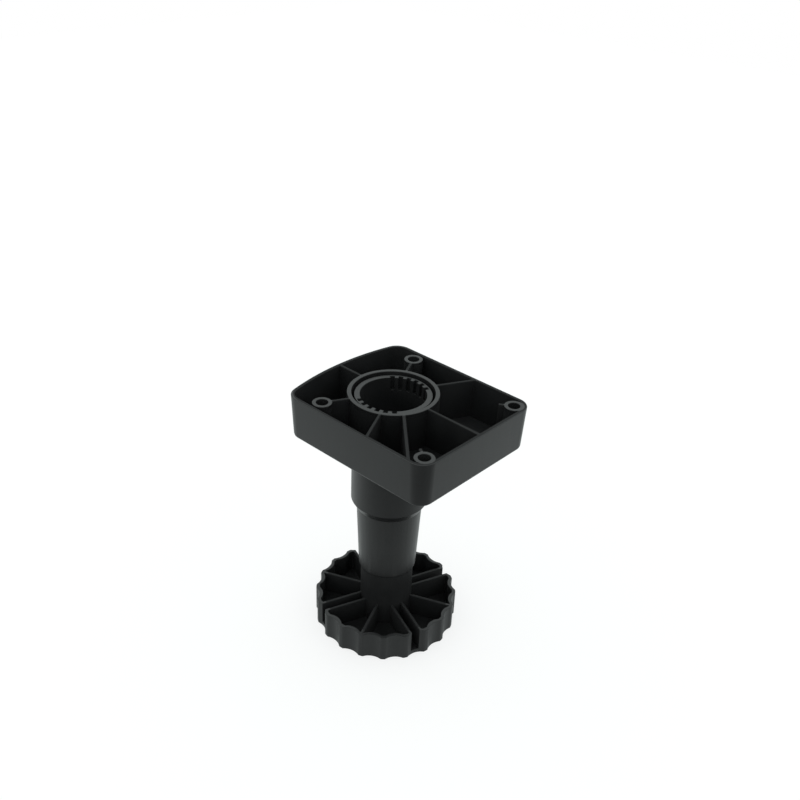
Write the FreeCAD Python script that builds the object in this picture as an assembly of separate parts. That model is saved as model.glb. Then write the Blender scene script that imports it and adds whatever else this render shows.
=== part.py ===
"""Adjustable cabinet leg: a screw-on plate with a socket, a tube pushed into it and a screw-in foot.

The leg stands on z = 0 with its axis on Z. X runs along the plate, towards its straight front side.
"""
import FreeCAD, Part
import math
import os

# Whole leg, millimetres
LEG_HEIGHT = 120.0  # floor to cabinet, with the foot screwed right in

# Tray of the mounting plate
PLATE_WIDTH = 67.7
PLATE_FRONT = 47.1  # leg axis to the straight front side
PLATE_BACK = 33.2  # leg axis to the middle of the bowed back side
BOW_RADIUS = 121.0
CORNER_RADIUS = 6.9
SKIRT_HEIGHT = 19.8
SKIRT_DRAFT = 1.0  # how far the skirt draws in at its lower edge
SKIRT_EDGE_RADIUS = 1.4  # round of the skirt's lower edge
SKIRT_EDGE_STEPS = 3  # drafted bands that make up this round
PLATE_WALL = 1.6
PLATE_FLOOR = 2.2
PLATE_RIB = 1.3

# Screw bosses of the plate
BOSS_RADIUS = 4.15
SCREW_HOLE_RADIUS = 2.5
HOLE_SPACING_X = 55.6
HOLE_SPACING_Y = 54.9
HOLES_BACK = 13.85  # leg axis to the back pair of holes
BOSS_FIN = 2.2  # short fin on the front bosses, towards the ring

# Ring and socket of the plate
RING_RADIUS = 19.4
RING_WALL = 1.9
SOCKET_RADIUS = 16.4
SOCKET_BORE_RADIUS = 14.0  # at the mouth, over the tray's floor
SOCKET_RIM_DROP = 1.15  # the socket's rim lies this far under the tray's rim
COLLAR_RADIUS = 17.05  # the socket's outside under the tray's floor
COLLAR_BORE_RADIUS = 14.65  # holds the tube
COLLAR_LENGTH = 36.6
COLLAR_CHAMFER = 3.6
COLLAR_LIP = 0.35  # what the chamfer leaves of the collar's wall
STOP_HOLE_RADIUS = 11.5  # hole in the floor that stops the tube

# Toothed arcs at the socket's mouth
TOOTHED_ARCS = 2
POCKETS_IN_ARC = 6
POCKET_PITCH = 14.0  # degrees
POCKET_ANGLE = 7.0  # degrees
POCKET_DEPTH = 1.7
POCKET_HEIGHT = 6.0  # how far the pockets reach down from the socket's rim
TOOTHED_ARC_TURN = 100.0  # degrees from X to the middle of the first arc

# Ribs of the plate
WALL_RIB_ANGLE = 63.0  # degrees from X, to each long side
SLANTED_RIB_START = -33.7  # degrees from X, where the slanted rib leaves the ring
SLANTED_RIB_END = 39.7  # along X, where its line leaves the long side

# Tube
TUBE_CLEARANCE = 0.1  # radial play of the push fit
TUBE_END_RADIUS = 13.05  # at the lower end
TUBE_EDGE = 0.4  # chamfer of the tube's lower end

# Foot
FOOT_RADIUS = 32.8  # over the ridges
FOOT_WALL_HEIGHT = 13.1
FOOT_WALL = 1.7
FOOT_FLOOR = 2.2
FLUTES = 20
FLUTE_DEPTH = 1.5
RIDGE_ANGLE = 3.6  # degrees, the rounded land between two flutes
FOOT_RIB = 1.3
SLOTS = 4
SLOT_WIDTH = 3.7
SLOT_LENGTH = 6.8
SLOT_TURN = -21.0  # degrees from X to the first slot
HUB_RADIUS = 12.0
HUB_HEIGHT = 30.5  # where the hub meets the tube
STEM_RADIUS = 9.7
STEM_LENGTH = 48.0
STEM_WALL = 2.8
STEM_CHAMFER = 1.2
THREAD_CLEARANCE = 0.3  # radial play between the stem and the tube's bore

# Heights and places that follow from the sizes above
TRAY_BOTTOM = LEG_HEIGHT - SKIRT_HEIGHT
FLOOR_TOP = TRAY_BOTTOM + PLATE_FLOOR
SOCKET_RIM = LEG_HEIGHT - SOCKET_RIM_DROP
COLLAR_BOTTOM = TRAY_BOTTOM - COLLAR_LENGTH
TUBE_RADIUS = COLLAR_BORE_RADIUS - TUBE_CLEARANCE
TUBE_BORE_RADIUS = STEM_RADIUS + THREAD_CLEARANCE
HALF_WIDTH = PLATE_WIDTH / 2
HOLE_X = (-HOLES_BACK, HOLE_SPACING_X - HOLES_BACK)
HOLE_Y = (-HOLE_SPACING_Y / 2, HOLE_SPACING_Y / 2)
PAST = 1.0  # how far a cutting solid reaches past the face that it cuts

UP = FreeCAD.Vector(0, 0, 1)


def point(x, y, z=0.0):
    return FreeCAD.Vector(x, y, z)


def polar(radius, degrees, z=0.0):
    turn = math.radians(degrees)
    return point(radius * math.cos(turn), radius * math.sin(turn), z)


def line(start, end):
    return Part.LineSegment(start, end).toShape()


def arc(start, middle, end):
    return Part.Arc(start, middle, end).toShape()


def cylinder(radius, bottom, top, x=0.0, y=0.0):
    return Part.makeCylinder(radius, top - bottom, point(x, y, bottom), UP)


def tube(outer, inner, bottom, top):
    return cylinder(outer, bottom, top).cut(cylinder(inner, bottom - PAST, top + PAST))


def turned(profile):
    """A solid of revolution about the leg's axis, from (radius, z) points."""
    corners = [point(radius, 0, z) for radius, z in profile]
    outline = Part.makePolygon(corners + corners[:1])
    return Part.Face(outline).revolve(point(0, 0), UP, 360)


def web(start, end, thickness, bottom, top):
    """An upright plate along the line from start to end, points in the ground plan."""
    along = end - start
    plate = Part.makeBox(along.Length, thickness, top - bottom, point(0, -thickness / 2, bottom))
    plate.rotate(point(0, 0), UP, math.degrees(math.atan2(along.y, along.x)))
    plate.translate(start)
    return plate


def joined(shapes):
    return shapes[0].multiFuse(shapes[1:]).removeSplitter()


def tray_outline(inset, z):
    """The tray's ground plan drawn in by inset: three straight sides, a bowed one and round corners."""
    radius = CORNER_RADIUS - inset
    side = HALF_WIDTH - inset
    front = PLATE_FRONT - inset
    bow = BOW_RADIUS - inset
    bow_centre = BOW_RADIUS - PLATE_BACK
    corner_y = side - radius
    front_x = front - radius
    back_x = bow_centre - math.sqrt((bow - radius) ** 2 - corner_y**2)
    bow_turn = math.degrees(math.atan2(corner_y, bow_centre - back_x))
    half_turn = (90 - bow_turn) / 2

    def bow_point(degrees):
        return point(bow_centre, 0, z) - polar(bow, degrees)

    def corner_point(x, y, degrees):
        return point(x, y, z) + polar(radius, degrees)

    def back_corner(sign, degrees):
        return corner_point(back_x, sign * corner_y, sign * degrees)

    def front_corner(sign, degrees):
        return corner_point(front_x, sign * corner_y, sign * degrees)

    return Part.Wire(
        [
            line(back_corner(-1, 90), front_corner(-1, 90)),
            arc(front_corner(-1, 90), front_corner(-1, 45), front_corner(-1, 0)),
            line(front_corner(-1, 0), front_corner(1, 0)),
            arc(front_corner(1, 0), front_corner(1, 45), front_corner(1, 90)),
            line(front_corner(1, 90), back_corner(1, 90)),
            arc(back_corner(1, 90), back_corner(1, 90 + half_turn), bow_point(-bow_turn)),
            arc(bow_point(-bow_turn), bow_point(0), bow_point(bow_turn)),
            arc(bow_point(bow_turn), back_corner(-1, 90 + half_turn), back_corner(-1, 90)),
        ]
    )


def tray_inset(z):
    """How far the drafted skirt has drawn in at a height."""
    return SKIRT_DRAFT * (LEG_HEIGHT - z) / SKIRT_HEIGHT


def drafted_tray(bottom, top, wall):
    """The tray's drafted form between two heights, drawn in by a wall."""
    outlines = [tray_outline(tray_inset(z) + wall, z) for z in (bottom, top)]
    return Part.makeLoft(outlines, True, True)


def tray_shell():
    """The skirt and the floor. Outlines that follow a quarter round make up the skirt's lower edge."""
    outlines = []
    for step in range(SKIRT_EDGE_STEPS + 1):
        turn = math.radians(90 * step / SKIRT_EDGE_STEPS)
        z = TRAY_BOTTOM + SKIRT_EDGE_RADIUS * (1 - math.cos(turn))
        rounding = SKIRT_EDGE_RADIUS * (1 - math.sin(turn))
        outlines.append(tray_outline(tray_inset(z) + rounding, z))
    outlines.append(tray_outline(0.0, LEG_HEIGHT))
    outside = Part.makeLoft(outlines, True, True)
    inside = drafted_tray(FLOOR_TOP, LEG_HEIGHT + PAST, PLATE_WALL)
    return outside.cut(inside)


def plate_ribs():
    """The plate's upright ribs as pairs of ends in the ground plan. The skirt trims what runs past."""
    ring = RING_RADIUS - RING_WALL / 2
    wall_rib_x = HALF_WIDTH / math.tan(math.radians(WALL_RIB_ANGLE))
    ends = [
        (polar(ring, 180), point(-PLATE_BACK, 0)),
        (polar(ring, 0), point(PLATE_FRONT, 0)),
        (polar(ring, SLANTED_RIB_START), point(SLANTED_RIB_END, -HALF_WIDTH)),
    ]
    for sign in (-1, 1):
        ends.append((polar(ring, sign * WALL_RIB_ANGLE), point(wall_rib_x, sign * HALF_WIDTH)))
    for y in HOLE_Y:
        boss = point(HOLE_X[0], y)
        to_boss = math.degrees(math.atan2(boss.y, boss.x))
        ends.append((polar(ring, to_boss), boss))
        front_boss = point(HOLE_X[1], y)
        inwards = front_boss * (1 - (BOSS_RADIUS + BOSS_FIN) / front_boss.Length)
        ends.append((inwards, front_boss))
    return ends


def pockets():
    """The pockets between the teeth at the socket's mouth."""
    deep = SOCKET_BORE_RADIUS + POCKET_DEPTH
    cuts = []
    for side in range(TOOTHED_ARCS):
        middle = TOOTHED_ARC_TURN + side * 360 / TOOTHED_ARCS
        for index in range(POCKETS_IN_ARC):
            start = middle + (index - (POCKETS_IN_ARC - 1) / 2) * POCKET_PITCH - POCKET_ANGLE / 2
            bottom = point(0, 0, SOCKET_RIM - POCKET_HEIGHT)
            wedge = Part.makeCylinder(deep, POCKET_HEIGHT + PAST, bottom, UP, POCKET_ANGLE)
            wedge.rotate(point(0, 0), UP, start)
            cuts.append(wedge)
    return cuts


def mounting_plate():
    lip = COLLAR_BORE_RADIUS + COLLAR_LIP
    collar_top = (TRAY_BOTTOM + FLOOR_TOP) / 2
    socket = turned(
        [
            (0, COLLAR_BOTTOM),
            (lip, COLLAR_BOTTOM),
            (COLLAR_RADIUS, COLLAR_BOTTOM + COLLAR_CHAMFER),
            (COLLAR_RADIUS, collar_top),
            (SOCKET_RADIUS, collar_top),
            (SOCKET_RADIUS, SOCKET_RIM),
            (0, SOCKET_RIM),
        ]
    )
    solids = [tray_shell(), tube(RING_RADIUS, RING_RADIUS - RING_WALL, TRAY_BOTTOM, LEG_HEIGHT)]
    for x in HOLE_X:
        for y in HOLE_Y:
            solids.append(cylinder(BOSS_RADIUS, TRAY_BOTTOM, LEG_HEIGHT, x, y))
    for start, end in plate_ribs():
        solids.append(web(start, end, PLATE_RIB, TRAY_BOTTOM, LEG_HEIGHT))
    inside_skirt = drafted_tray(TRAY_BOTTOM, LEG_HEIGHT, PLATE_WALL / 2)
    plate = joined([solids[0]] + [solid.common(inside_skirt) for solid in solids[1:]] + [socket])
    cuts = [
        cylinder(COLLAR_BORE_RADIUS, COLLAR_BOTTOM - PAST, TRAY_BOTTOM),
        cylinder(STOP_HOLE_RADIUS, TRAY_BOTTOM - PAST, FLOOR_TOP + PAST),
        cylinder(SOCKET_BORE_RADIUS, FLOOR_TOP, LEG_HEIGHT + PAST),
    ]
    for x in HOLE_X:
        for y in HOLE_Y:
            cuts.append(cylinder(SCREW_HOLE_RADIUS, TRAY_BOTTOM - PAST, LEG_HEIGHT + PAST, x, y))
    return plate.cut(cuts + pockets()).removeSplitter()


def leg_tube():
    """The tube: straight in the collar, then tapering to its lower end."""
    bottom, top = HUB_HEIGHT, TRAY_BOTTOM
    return turned(
        [
            (TUBE_BORE_RADIUS, bottom),
            (TUBE_END_RADIUS - TUBE_EDGE, bottom),
            (TUBE_END_RADIUS, bottom + TUBE_EDGE),
            (TUBE_RADIUS, COLLAR_BOTTOM),
            (TUBE_RADIUS, top),
            (TUBE_BORE_RADIUS, top),
        ]
    )


def fluted_block(wall, bottom, top):
    """A block between two heights with concave flutes and narrow round ridges, drawn in by a wall."""
    ridge = FOOT_RADIUS - wall
    pitch = 360 / FLUTES
    land = RIDGE_ANGLE / 2
    valley = ridge - FLUTE_DEPTH
    flank = ridge * math.cos(math.radians(land))
    edges = []
    for index in range(FLUTES):
        middle = SLOT_TURN + index * pitch
        flute_start = polar(flank, middle - pitch / 2 + land, bottom)
        flute_end = polar(flank, middle + pitch / 2 - land, bottom)
        next_start = polar(flank, middle + pitch / 2 + land, bottom)
        edges.append(arc(flute_start, polar(valley, middle, bottom), flute_end))
        edges.append(arc(flute_end, polar(ridge, middle + pitch / 2, bottom), next_start))
    return Part.Face(Part.Wire(edges)).extrude(point(0, 0, top - bottom))


def fluted_cup():
    outside = fluted_block(0.0, 0.0, FOOT_WALL_HEIGHT)
    return outside.cut(fluted_block(FOOT_WALL, FOOT_FLOOR, FOOT_WALL_HEIGHT + PAST))


def foot_ribs():
    """A rib midway between two slots, and a pair that carries each slot's sides in to the hub."""
    aside = (SLOT_WIDTH + FOOT_RIB) / 2
    inside_wall = fluted_block(FOOT_WALL / 2, 0.0, FOOT_WALL_HEIGHT)
    ribs = []
    for index in range(SLOTS):
        slot = SLOT_TURN + index * 360 / SLOTS
        single = slot + 180 / SLOTS
        ribs.append(web(point(0, 0), polar(FOOT_RADIUS, single), FOOT_RIB, 0.0, FOOT_WALL_HEIGHT))
        for sign in (-1, 1):
            offset = polar(sign * aside, slot + 90)
            end = offset + polar(FOOT_RADIUS, slot)
            ribs.append(web(offset, end, FOOT_RIB, 0.0, FOOT_WALL_HEIGHT))
    return [rib.common(inside_wall) for rib in ribs]


def adjusting_foot():
    stem_top = HUB_HEIGHT + STEM_LENGTH
    bore = STEM_RADIUS - STEM_WALL
    post = turned(
        [
            (0, 0),
            (HUB_RADIUS, 0),
            (HUB_RADIUS, HUB_HEIGHT),
            (STEM_RADIUS, HUB_HEIGHT),
            (STEM_RADIUS, stem_top - STEM_CHAMFER),
            (STEM_RADIUS - STEM_CHAMFER, stem_top),
            (0, stem_top),
        ]
    )
    foot = joined([fluted_cup(), post] + foot_ribs())
    cuts = [cylinder(bore, FOOT_FLOOR, stem_top + PAST)]
    slot_start = FOOT_RADIUS - SLOT_LENGTH
    for index in range(SLOTS):
        turn = SLOT_TURN + index * 360 / SLOTS
        start, end = polar(slot_start, turn), polar(FOOT_RADIUS + PAST, turn)
        cuts.append(web(start, end, SLOT_WIDTH, FOOT_FLOOR, FOOT_WALL_HEIGHT + PAST))
    return foot.cut(cuts).removeSplitter()


def main():
    os.makedirs("parts", exist_ok=True)
    nodes = {
        "mounting_plate": mounting_plate(),
        "leg_tube": leg_tube(),
        "adjusting_foot": adjusting_foot(),
    }
    for name, shape in nodes.items():
        shape.exportStep(f"parts/{name}.step")
        print(name, len(shape.Solids), shape.isValid(), round(shape.Volume), shape.BoundBox)


main()
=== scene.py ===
"""Looks of the adjustable cabinet leg: its black mouldings with rounded edges, the screw thread of the foot,
the floor, the light and the camera.
"""

import math

import bmesh
import bpy
from mathutils import Matrix, Vector


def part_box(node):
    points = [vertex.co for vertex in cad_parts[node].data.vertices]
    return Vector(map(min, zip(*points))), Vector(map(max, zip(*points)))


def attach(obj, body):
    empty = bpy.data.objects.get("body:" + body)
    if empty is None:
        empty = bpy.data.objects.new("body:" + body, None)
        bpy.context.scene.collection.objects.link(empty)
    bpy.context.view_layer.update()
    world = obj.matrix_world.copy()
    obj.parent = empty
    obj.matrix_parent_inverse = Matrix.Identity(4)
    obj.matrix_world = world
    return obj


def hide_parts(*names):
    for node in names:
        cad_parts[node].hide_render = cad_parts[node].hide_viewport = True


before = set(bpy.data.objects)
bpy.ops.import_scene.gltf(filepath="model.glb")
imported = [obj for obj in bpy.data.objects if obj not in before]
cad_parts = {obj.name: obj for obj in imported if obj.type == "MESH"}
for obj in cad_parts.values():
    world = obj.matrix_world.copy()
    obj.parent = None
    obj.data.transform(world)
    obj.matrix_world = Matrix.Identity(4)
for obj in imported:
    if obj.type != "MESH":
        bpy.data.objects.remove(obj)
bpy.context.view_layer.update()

MM = 0.001
TURN = 2 * math.pi

# Camera, in metres and degrees
CAMERA_LENS_MM = 42.074
CAMERA_SENSOR_MM = 36.0
CAMERA_AZIMUTH = 41.872
CAMERA_ELEVATION = 30.214
CAMERA_ROLL = 2.48
CAMERA_DISTANCE = 0.4125
AIM_HEIGHT = 0.07055
AIM_RIGHT = 0.00281
AIM_UP = 0.03929

# Plastic of each moulding: its roughness, darkest and lightest colour and how much the streaks roughen it
PLATE_LOOK = {
    "roughness": 0.36,
    "dark": (0.0095, 0.0095, 0.0100, 1.0),
    "light": (0.0145, 0.0145, 0.0150, 1.0),
    "streaks": 0.10,
}
TUBE_LOOK = {
    "roughness": 0.32,
    "dark": (0.0095, 0.0095, 0.0100, 1.0),
    "light": (0.0140, 0.0140, 0.0145, 1.0),
    "streaks": 0.18,
}
FOOT_LOOK = {
    "roughness": 0.40,
    "dark": (0.0120, 0.0120, 0.0125, 1.0),
    "light": (0.0180, 0.0180, 0.0185, 1.0),
    "streaks": 0.10,
}

# Plastic of all mouldings
PLASTIC_IOR = 1.49
SATIN_GLOSS = 0.5
# The core side's higher roughness is its duller mould finish; its lower gloss is painted shade that darkens
# the tray's and cup's hollows.
CORE_SHADE_GLOSS = 0.2
CORE_ROUGHNESS = 0.62
NOISE_MEAN = 0.5
GRAIN_SCALE = 4200.0
GRAIN_DETAIL = 1.0
GRAIN_ROUGHENS = 0.10
GRAIN_HEIGHT = 0.7
CLOUD_SCALE = 70.0
CLOUD_DETAIL = 3.0
CLOUD_RANGE = (0.3, 0.75)
CLOUD_ROUGHENS = 0.14
STREAK_SCALE = 1100.0
STREAK_DETAIL = 2.0
STREAK_STRETCH = (1.0, 1.0, 0.03)
STREAK_HEIGHT = 0.5
BUMP_STRENGTH = 0.35
BUMP_DEPTH = 0.012 * MM

# Forms that part the dull core side of a moulding, whose lower gloss is painted shade in its hollows, from
# its satin outside
SKIRT_HEIGHT = 19.8 * MM
SKIRT_DRAFT = 1.0 * MM
TRAY_FLOOR = 1.6 * MM  # over the skirt's lower edge, inside the floor's thickness
BOW_RADIUS = 121.0 * MM
CORNER_RADIUS = 6.9 * MM
RING_RADIUS = 19.4 * MM
BOSS_RADIUS = 4.15 * MM
BOSS_X = (-13.85 * MM, 41.75 * MM)
BOSS_Y = 27.45 * MM
TOP_BAND = 1.4 * MM
CUP_RADIUS = 31.1 * MM
CUP_INSIDE_RADIUS = 29.4 * MM
CUP_HEIGHT = 13.1 * MM
MASK_BLUR = 0.2 * MM

# Edges of the mouldings
WELD = 0.002 * MM
FLAT_ANGLE = math.radians(0.6)
SHARP_ANGLE = math.radians(40)
EDGE_ROUND = 0.32 * MM
EDGE_SEGMENTS = 2
EDGE_PROFILE = 0.5
NOTCH_ANGLE = math.radians(60)
NOTCH_REACH = 1.5 * MM
COLLAR_CHAMFER = 3.6 * MM
NORMAL_WEIGHT = 60

# Screw thread of the foot's stem
STEM_NEAR = 0.02 * MM
THREAD_DEPTH = 0.95 * MM
THREAD_PITCH = 4.0 * MM
THREAD_ROOT = 2.3 * MM
THREAD_CREST = 0.9 * MM
THREAD_SUNK = 0.25 * MM
THREAD_START = 2.5 * MM
THREAD_STOP = 3.4 * MM
STEPS_PER_TURN = 72

# Floor and studio
FLOOR_SIZE = 3.0
FLOOR_GREY = (0.30, 0.30, 0.30, 1.0)
FLOOR_GLOW = 0.74
FLOOR_IN_GLOSS = 0.52
DIM_FLOOR_IN_GLOSS = 0.03
DIM_FLOOR_RANGE = (-0.07, 0.20)
ROOM_SIDE = (0.764, -0.645, 0.0)
STUDIO_COLOUR = (0.93, 1.0, 0.99, 1.0)
WHITE = (1.0, 1.0, 1.0, 1.0)
SKY_LEVEL = 1.0
WALL_LEVEL = 0.5
SKY_RANGE = (0.0, 0.45)

# Sockets of the Mix node that hold colours
MIX_FIRST = 6
MIX_SECOND = 7
MIX_RESULT = 2


class Value:
    """An output of a shader node. Arithmetic on it adds Math nodes to its finish."""

    def __init__(self, finish, socket):
        self.finish = finish
        self.socket = socket

    def __add__(self, other):
        return self.finish.maths("ADD", self, other)

    def __radd__(self, other):
        return self.finish.maths("ADD", other, self)

    def __sub__(self, other):
        return self.finish.maths("SUBTRACT", self, other)

    def __rsub__(self, other):
        return self.finish.maths("SUBTRACT", other, self)

    def __mul__(self, other):
        return self.finish.maths("MULTIPLY", self, other)

    def __rmul__(self, other):
        return self.finish.maths("MULTIPLY", other, self)


class Finish:
    """A shader node tree that is written as calls and arithmetic."""

    def __init__(self, tree):
        self.tree = tree
        self.tree.nodes.clear()

    def node(self, kind, settings=None, inputs=None, output=0):
        """Adds a node: its settings first, then the values or links of its sockets."""
        made = self.tree.nodes.new(kind)
        for name, value in (settings or {}).items():
            setattr(made, name, value)
        for name, value in (inputs or {}).items():
            if isinstance(value, Value):
                self.tree.links.new(value.socket, made.inputs[name])
            else:
                made.inputs[name].default_value = value
        if not made.outputs:
            return None
        return Value(self, made.outputs[output])

    def noise(self, place, scale, detail):
        inputs = {"Vector": place, "Scale": scale, "Detail": detail}
        return self.node("ShaderNodeTexNoise", None, inputs)

    def between(self, value, low, high):
        """0 below low, 1 above high and smooth between them."""
        return self.node(
            "ShaderNodeMapRange",
            {"interpolation_type": "SMOOTHSTEP"},
            {"Value": value, "From Min": low, "From Max": high},
        )

    def below(self, value, limit):
        """1 below a limit in metres, 0 above it, with a narrow blur just over it."""
        return 1.0 - self.between(value, limit, limit + MASK_BLUR)

    def maths(self, operation, *values):
        return self.node("ShaderNodeMath", {"operation": operation}, dict(enumerate(values)))

    def length(self, x, y):
        flat = self.node("ShaderNodeCombineXYZ", None, {"X": x, "Y": y})
        return self.node("ShaderNodeVectorMath", {"operation": "LENGTH"}, {0: flat}, "Value")

    def along(self, vector, way):
        """How far a vector reaches along a direction."""
        inputs = {0: vector, 1: way}
        return self.node("ShaderNodeVectorMath", {"operation": "DOT_PRODUCT"}, inputs, "Value")

    def parts(self, vector):
        """The three numbers of a vector."""
        return [self.node("ShaderNodeSeparateXYZ", None, {"Vector": vector}, axis) for axis in "XYZ"]

    def plastic(self, colour, roughness, normal, gloss):
        inputs = {
            "Base Color": colour,
            "Roughness": roughness,
            "Normal": normal,
            "IOR": PLASTIC_IOR,
            "Specular IOR Level": gloss,
        }
        return self.node("ShaderNodeBsdfPrincipled", None, inputs)

    def mix_colour(self, share, first, second):
        inputs = {"Factor": share, MIX_FIRST: first, MIX_SECOND: second}
        return self.node("ShaderNodeMix", {"data_type": "RGBA"}, inputs, MIX_RESULT)


def new_material(name):
    material = bpy.data.materials.new(name)
    material.use_nodes = True
    return material, Finish(material.node_tree)


def tray_core_shade(finish, place):
    """1 in the plate's tray and on its ribs and rim, where the duller core finish and its painted shade go.

    0 on its skirt, under it and on the tops of its ring, socket and bosses.
    """
    low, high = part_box("mounting_plate")
    x, y, z = finish.parts(place)
    depth = high.z - z
    inset = SKIRT_DRAFT / SKIRT_HEIGHT * depth
    bow_centre = low.x + BOW_RADIUS
    aside = finish.maths("ABSOLUTE", y)
    from_side = high.y - aside - inset
    from_front = high.x - x - inset
    from_bow = BOW_RADIUS - finish.length(x - bow_centre, y) - inset
    from_end = finish.maths("MINIMUM", from_front, from_bow)
    corner = [finish.maths("MAXIMUM", CORNER_RADIUS - away, 0.0) for away in (from_side, from_end)]
    inwards = CORNER_RADIUS - finish.length(*corner)
    within = finish.between(inwards, MASK_BLUR, 2 * MASK_BLUR)
    over_floor = finish.below(depth, SKIRT_HEIGHT - TRAY_FLOOR)
    shiny = finish.below(finish.length(x, y), RING_RADIUS)
    for boss_x in BOSS_X:
        from_boss = finish.length(x - boss_x, aside - BOSS_Y)
        shiny = finish.maths("MAXIMUM", shiny, finish.below(from_boss, BOSS_RADIUS))
    return within * over_floor * (1.0 - shiny * finish.below(depth, TOP_BAND))


def cup_core_shade(finish, place):
    """Where the duller core finish and its painted shade go: 1 inside the foot's cup, on its ribs and on its
    hub, 0 on the rim, the fluted wall and the stem.
    """
    x, y, z = finish.parts(place)
    radius = finish.length(x, y)
    on_wall = finish.below(radius, CUP_RADIUS) * finish.below(z, CUP_HEIGHT - MASK_BLUR)
    between_walls = finish.below(radius, CUP_INSIDE_RADIUS)
    below_stem = finish.below(z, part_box("leg_tube")[0].z)
    return below_stem * finish.maths("MAXIMUM", on_wall, between_walls)


def black_plastic(name, roughness, dark, light, streaks, inside=None):
    """Satin moulded black plastic with a fine grain, cloudy flow marks and streaks where it left the mould.

    The core side, where the inside mask is 1, is duller: rougher, and with a lower gloss that is painted
    shade darkening the hollows.
    """
    material, finish = new_material(name)
    place = finish.node("ShaderNodeTexCoord", output="Object")
    drawn_place = finish.node("ShaderNodeMapping", None, {"Vector": place, "Scale": STREAK_STRETCH})
    grain = finish.noise(place, GRAIN_SCALE, GRAIN_DETAIL)
    clouds = finish.noise(place, CLOUD_SCALE, CLOUD_DETAIL)
    drawn = finish.noise(drawn_place, STREAK_SCALE, STREAK_DETAIL)
    colour = finish.mix_colour(finish.between(clouds, *CLOUD_RANGE), dark, light)
    cloudy = CLOUD_ROUGHENS * (clouds - NOISE_MEAN)
    streaky = streaks * (drawn - NOISE_MEAN)
    grainy = GRAIN_ROUGHENS * (grain - NOISE_MEAN)
    unevenness = cloudy + streaky + grainy
    height = GRAIN_HEIGHT * grain + STREAK_HEIGHT * drawn
    bump_inputs = {"Height": height, "Strength": BUMP_STRENGTH, "Distance": BUMP_DEPTH}
    bump = finish.node("ShaderNodeBump", None, bump_inputs)
    surface = finish.plastic(colour, roughness + unevenness, bump, SATIN_GLOSS)
    if inside:
        # Duller core side: rougher, and its lower gloss darkens the hollows as painted shade.
        dull_and_shaded = finish.plastic(colour, CORE_ROUGHNESS + unevenness, bump, CORE_SHADE_GLOSS)
        surface = finish.node("ShaderNodeMixShader", None, {0: inside(finish, place), 1: surface, 2: dull_and_shaded})
    finish.node("ShaderNodeOutputMaterial", None, {"Surface": surface})
    return material


def joined_faces(node):
    """A node's own mesh with its loose triangles joined into whole faces."""
    shape = bmesh.new()
    shape.from_mesh(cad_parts[node].data)
    bmesh.ops.remove_doubles(shape, verts=shape.verts, dist=WELD)
    bmesh.ops.dissolve_limit(shape, angle_limit=FLAT_ANGLE, verts=shape.verts, edges=shape.edges)
    return shape


def notches(edges):
    """The points where two of the edges leave a vertex close together."""
    points = []
    for vert in {vert for edge in edges for vert in edge.verts}:
        ways = [edge.other_vert(vert).co - vert.co for edge in vert.link_edges if edge in edges]
        if len(ways) == 2 and ways[0].angle(ways[1]) < NOTCH_ANGLE:
            points.append(vert.co)
    return points


def round_edges(shape, plain=()):
    """Breaks the sharp outer edges with the small radius that a mould leaves. Inner corners stay crisp.

    Edges of plain vertices and edges near a narrow notch are left alone.
    """
    sharp = {edge for edge in shape.edges if edge.is_convex and edge.calc_face_angle() > SHARP_ANGLE}
    tight = notches(sharp)
    left = set(plain)
    for vert in shape.verts:
        if any((vert.co - point).length < NOTCH_REACH for point in tight):
            left.add(vert)
    bmesh.ops.bevel(
        shape,
        geom=[edge for edge in shape.edges if edge in sharp and left.isdisjoint(edge.verts)],
        offset=EDGE_ROUND,
        offset_type="OFFSET",
        affect="EDGES",
        segments=EDGE_SEGMENTS,
        profile=EDGE_PROFILE,
        material=-1,
        clamp_overlap=False,
    )
    for edge in shape.edges:
        edge.smooth = edge.calc_face_angle(0.0) < SHARP_ANGLE


def piece(name, shape, material, body, slot, *nodes):
    """Makes a finished bmesh an object that rides on a body and may stand for CAD nodes."""
    mesh = bpy.data.meshes.new(name)
    shape.to_mesh(mesh)
    shape.free()
    mesh.materials.append(material)
    mesh.shade_smooth()
    made = bpy.data.objects.new(name, mesh)
    bpy.context.scene.collection.objects.link(made)
    flatten = made.modifiers.new("even_faces", "WEIGHTED_NORMAL")
    flatten.weight = NORMAL_WEIGHT
    flatten.keep_sharp = True
    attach(made, body)
    if nodes:
        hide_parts(*nodes)


def radius_of(vert):
    return math.hypot(vert.co.x, vert.co.y)


def plate_moulding(material):
    """The plate. The narrow lip under its collar keeps its edges, and the chamfer over it a crisp top."""
    shape = joined_faces("mounting_plate")
    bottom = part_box("mounting_plate")[0].z
    lip = {vert for vert in shape.verts if vert.co.z < bottom + WELD}
    round_edges(shape, lip)
    for edge in shape.edges:
        if all(abs(vert.co.z - bottom - COLLAR_CHAMFER) < WELD for vert in edge.verts):
            edge.smooth = False
    piece("plate_moulding", shape, material, "leg", "plate_plastic", "mounting_plate")


def tube_moulding(material):
    shape = joined_faces("leg_tube")
    round_edges(shape)
    piece("tube_moulding", shape, material, "leg", "tube_plastic", "leg_tube")


def stem_sizes():
    """The stem's outer radius, foot and top, as the CAD foot has them."""
    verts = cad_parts["adjusting_foot"].data.vertices
    top = max(vert.co.z for vert in verts)
    hub_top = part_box("leg_tube")[0].z
    outer = max(radius_of(vert) for vert in verts if vert.co.z > hub_top + THREAD_START)
    return outer, hub_top, top


def foot_moulding(material):
    """The foot, with its stem turned down to the core that carries the thread."""
    outer, hub_top, _ = stem_sizes()
    shape = joined_faces("adjusting_foot")
    core = (outer - THREAD_DEPTH) / outer
    for vert in shape.verts:
        if vert.co.z > hub_top - WELD and abs(radius_of(vert) - outer) < STEM_NEAR:
            vert.co.x *= core
            vert.co.y *= core
    round_edges(shape)
    piece("foot_moulding", shape, material, "foot", "foot_plastic", "adjusting_foot")


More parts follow.
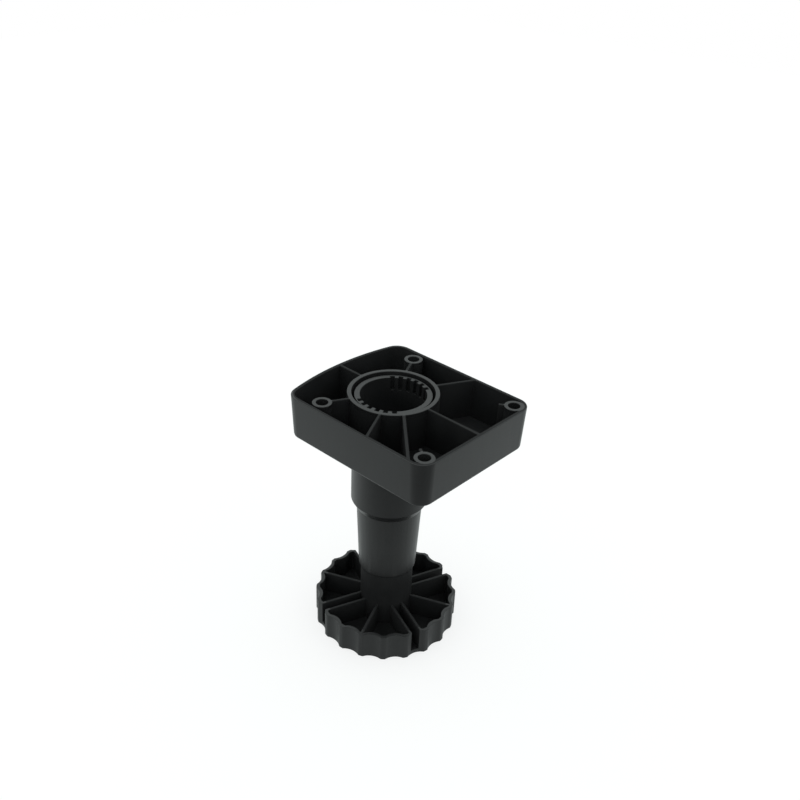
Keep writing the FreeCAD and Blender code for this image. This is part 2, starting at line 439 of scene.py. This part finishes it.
def stem_thread(material):
    """A trapezoidal ridge wound round the stem, running out to nothing over a turn at each end."""
    outer, hub_top, top = stem_sizes()
    core = outer - THREAD_DEPTH
    start = hub_top + THREAD_START
    turns = (top - THREAD_STOP - start) / THREAD_PITCH
    corners = [
        (core - THREAD_SUNK, -THREAD_ROOT / 2),
        (outer, -THREAD_CREST / 2),
        (outer, THREAD_CREST / 2),
        (core - THREAD_SUNK, THREAD_ROOT / 2),
    ]
    shape = bmesh.new()
    first = [shape.verts.new((radius, 0, start + z)) for radius, z in corners]
    edges = [shape.edges.new((first[i - 1], first[i])) for i in range(len(first))]
    steps = round(turns * STEPS_PER_TURN)
    swept = bmesh.ops.spin(
        shape,
        geom=first + edges,
        cent=(0, 0, 0),
        axis=(0, 0, 1),
        dvec=(0, 0, THREAD_PITCH / STEPS_PER_TURN),
        angle=steps * TURN / STEPS_PER_TURN,
        steps=steps,
        use_merge=False,
    )
    last = [item for item in swept["geom_last"] if isinstance(item, bmesh.types.BMVert)]
    bmesh.ops.contextual_create(shape, geom=first)
    bmesh.ops.contextual_create(shape, geom=last)
    end = start + turns * THREAD_PITCH
    for vert in shape.verts:
        height = radius_of(vert) - core
        run_out = min((vert.co.z - start) / THREAD_PITCH, (end - vert.co.z) / THREAD_PITCH, 1.0)
        if height > 0:
            scale = (core + height * max(run_out, 0.0) - THREAD_SUNK / 2) / radius_of(vert)
            vert.co.x *= scale
            vert.co.y *= scale
    bmesh.ops.recalc_face_normals(shape, faces=shape.faces)
    piece("stem_thread", shape, material, "foot", "foot_plastic")


def camera_axes():
    """The camera's right, up and back directions before it rolls."""
    azimuth, elevation = math.radians(CAMERA_AZIMUTH), math.radians(CAMERA_ELEVATION)
    back = Vector(
        (
            math.sin(azimuth) * math.cos(elevation),
            -math.cos(azimuth) * math.cos(elevation),
            math.sin(elevation),
        )
    )
    right = Vector((math.cos(azimuth), math.sin(azimuth), 0))
    return right, back.cross(right), back


def place_camera():
    right, up, back = camera_axes()
    roll = math.radians(CAMERA_ROLL)
    rolled_right = math.cos(roll) * right + math.sin(roll) * up
    rolled_up = math.cos(roll) * up - math.sin(roll) * right
    aim = Vector((0, 0, AIM_HEIGHT)) + AIM_RIGHT * right + AIM_UP * up
    data = bpy.data.cameras.new("camera")
    data.lens = CAMERA_LENS_MM
    data.sensor_width = CAMERA_SENSOR_MM
    camera = bpy.data.objects.new("camera", data)
    bpy.context.scene.collection.objects.link(camera)
    turn = Matrix((rolled_right, rolled_up, back)).transposed().to_4x4()
    camera.matrix_world = Matrix.Translation(aim + CAMERA_DISTANCE * back) @ turn
    bpy.context.scene.camera = camera


def white_floor():
    """White to the camera. What the leg's gloss sees of it is dimmer, and dimmest towards the viewer."""
    material, finish = new_material("white_floor")
    place = finish.node("ShaderNodeTexCoord", output="Object")
    dim = finish.between(finish.along(place, ROOM_SIDE), *DIM_FLOOR_RANGE)
    in_gloss = FLOOR_IN_GLOSS - (FLOOR_IN_GLOSS - DIM_FLOOR_IN_GLOSS) * dim
    camera_ray = finish.node("ShaderNodeLightPath", output="Is Camera Ray")
    glossy_ray = finish.node("ShaderNodeLightPath", output="Is Glossy Ray")
    strength = FLOOR_GLOW * camera_ray + glossy_ray * in_gloss
    diffuse = finish.node("ShaderNodeBsdfDiffuse", None, {"Color": FLOOR_GREY})
    colour = finish.mix_colour(glossy_ray, WHITE, STUDIO_COLOUR)
    glow = finish.node("ShaderNodeEmission", None, {"Color": colour, "Strength": strength})
    both = finish.node("ShaderNodeAddShader", None, {0: diffuse, 1: glow})
    finish.node("ShaderNodeOutputMaterial", None, {"Surface": both})
    return material


def lay_floor():
    """A floor under the foot, which it follows."""
    shape = bmesh.new()
    bmesh.ops.create_grid(shape, x_segments=1, y_segments=1, size=FLOOR_SIZE / 2)
    mesh = bpy.data.meshes.new("floor")
    shape.to_mesh(mesh)
    shape.free()
    mesh.materials.append(white_floor())
    floor = bpy.data.objects.new("floor", mesh)
    bpy.context.scene.collection.objects.link(floor)
    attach(floor, "foot")


def light_studio():
    """A white room that is lighter overhead than at its walls, and plain white where it is seen itself."""
    world = bpy.data.worlds.new("studio")
    bpy.context.scene.world = world
    world.use_nodes = True
    finish = Finish(world.node_tree)
    direction = finish.node("ShaderNodeTexCoord", output="Generated")
    height = finish.parts(direction)[2]
    level = WALL_LEVEL + (SKY_LEVEL - WALL_LEVEL) * finish.between(height, *SKY_RANGE)
    camera_ray = finish.node("ShaderNodeLightPath", output="Is Camera Ray")
    studio = finish.node("ShaderNodeBackground", None, {"Color": STUDIO_COLOUR, "Strength": level})
    white = finish.node("ShaderNodeBackground", None, {"Color": WHITE, "Strength": 1.0})
    both = finish.node("ShaderNodeMixShader", None, {0: camera_ray, 1: studio, 2: white})
    finish.node("ShaderNodeOutputWorld", None, {"Surface": both})


def main():
    plate_plastic = black_plastic("plate_plastic", inside=tray_core_shade, **PLATE_LOOK)
    tube_plastic = black_plastic("tube_plastic", **TUBE_LOOK)
    foot_plastic = black_plastic("foot_plastic", inside=cup_core_shade, **FOOT_LOOK)
    plate_moulding(plate_plastic)
    tube_moulding(tube_plastic)
    foot_moulding(foot_plastic)
    stem_thread(foot_plastic)
    lay_floor()
    light_studio()
    place_camera()
    bpy.context.scene.view_settings.view_transform = "Standard"


main()
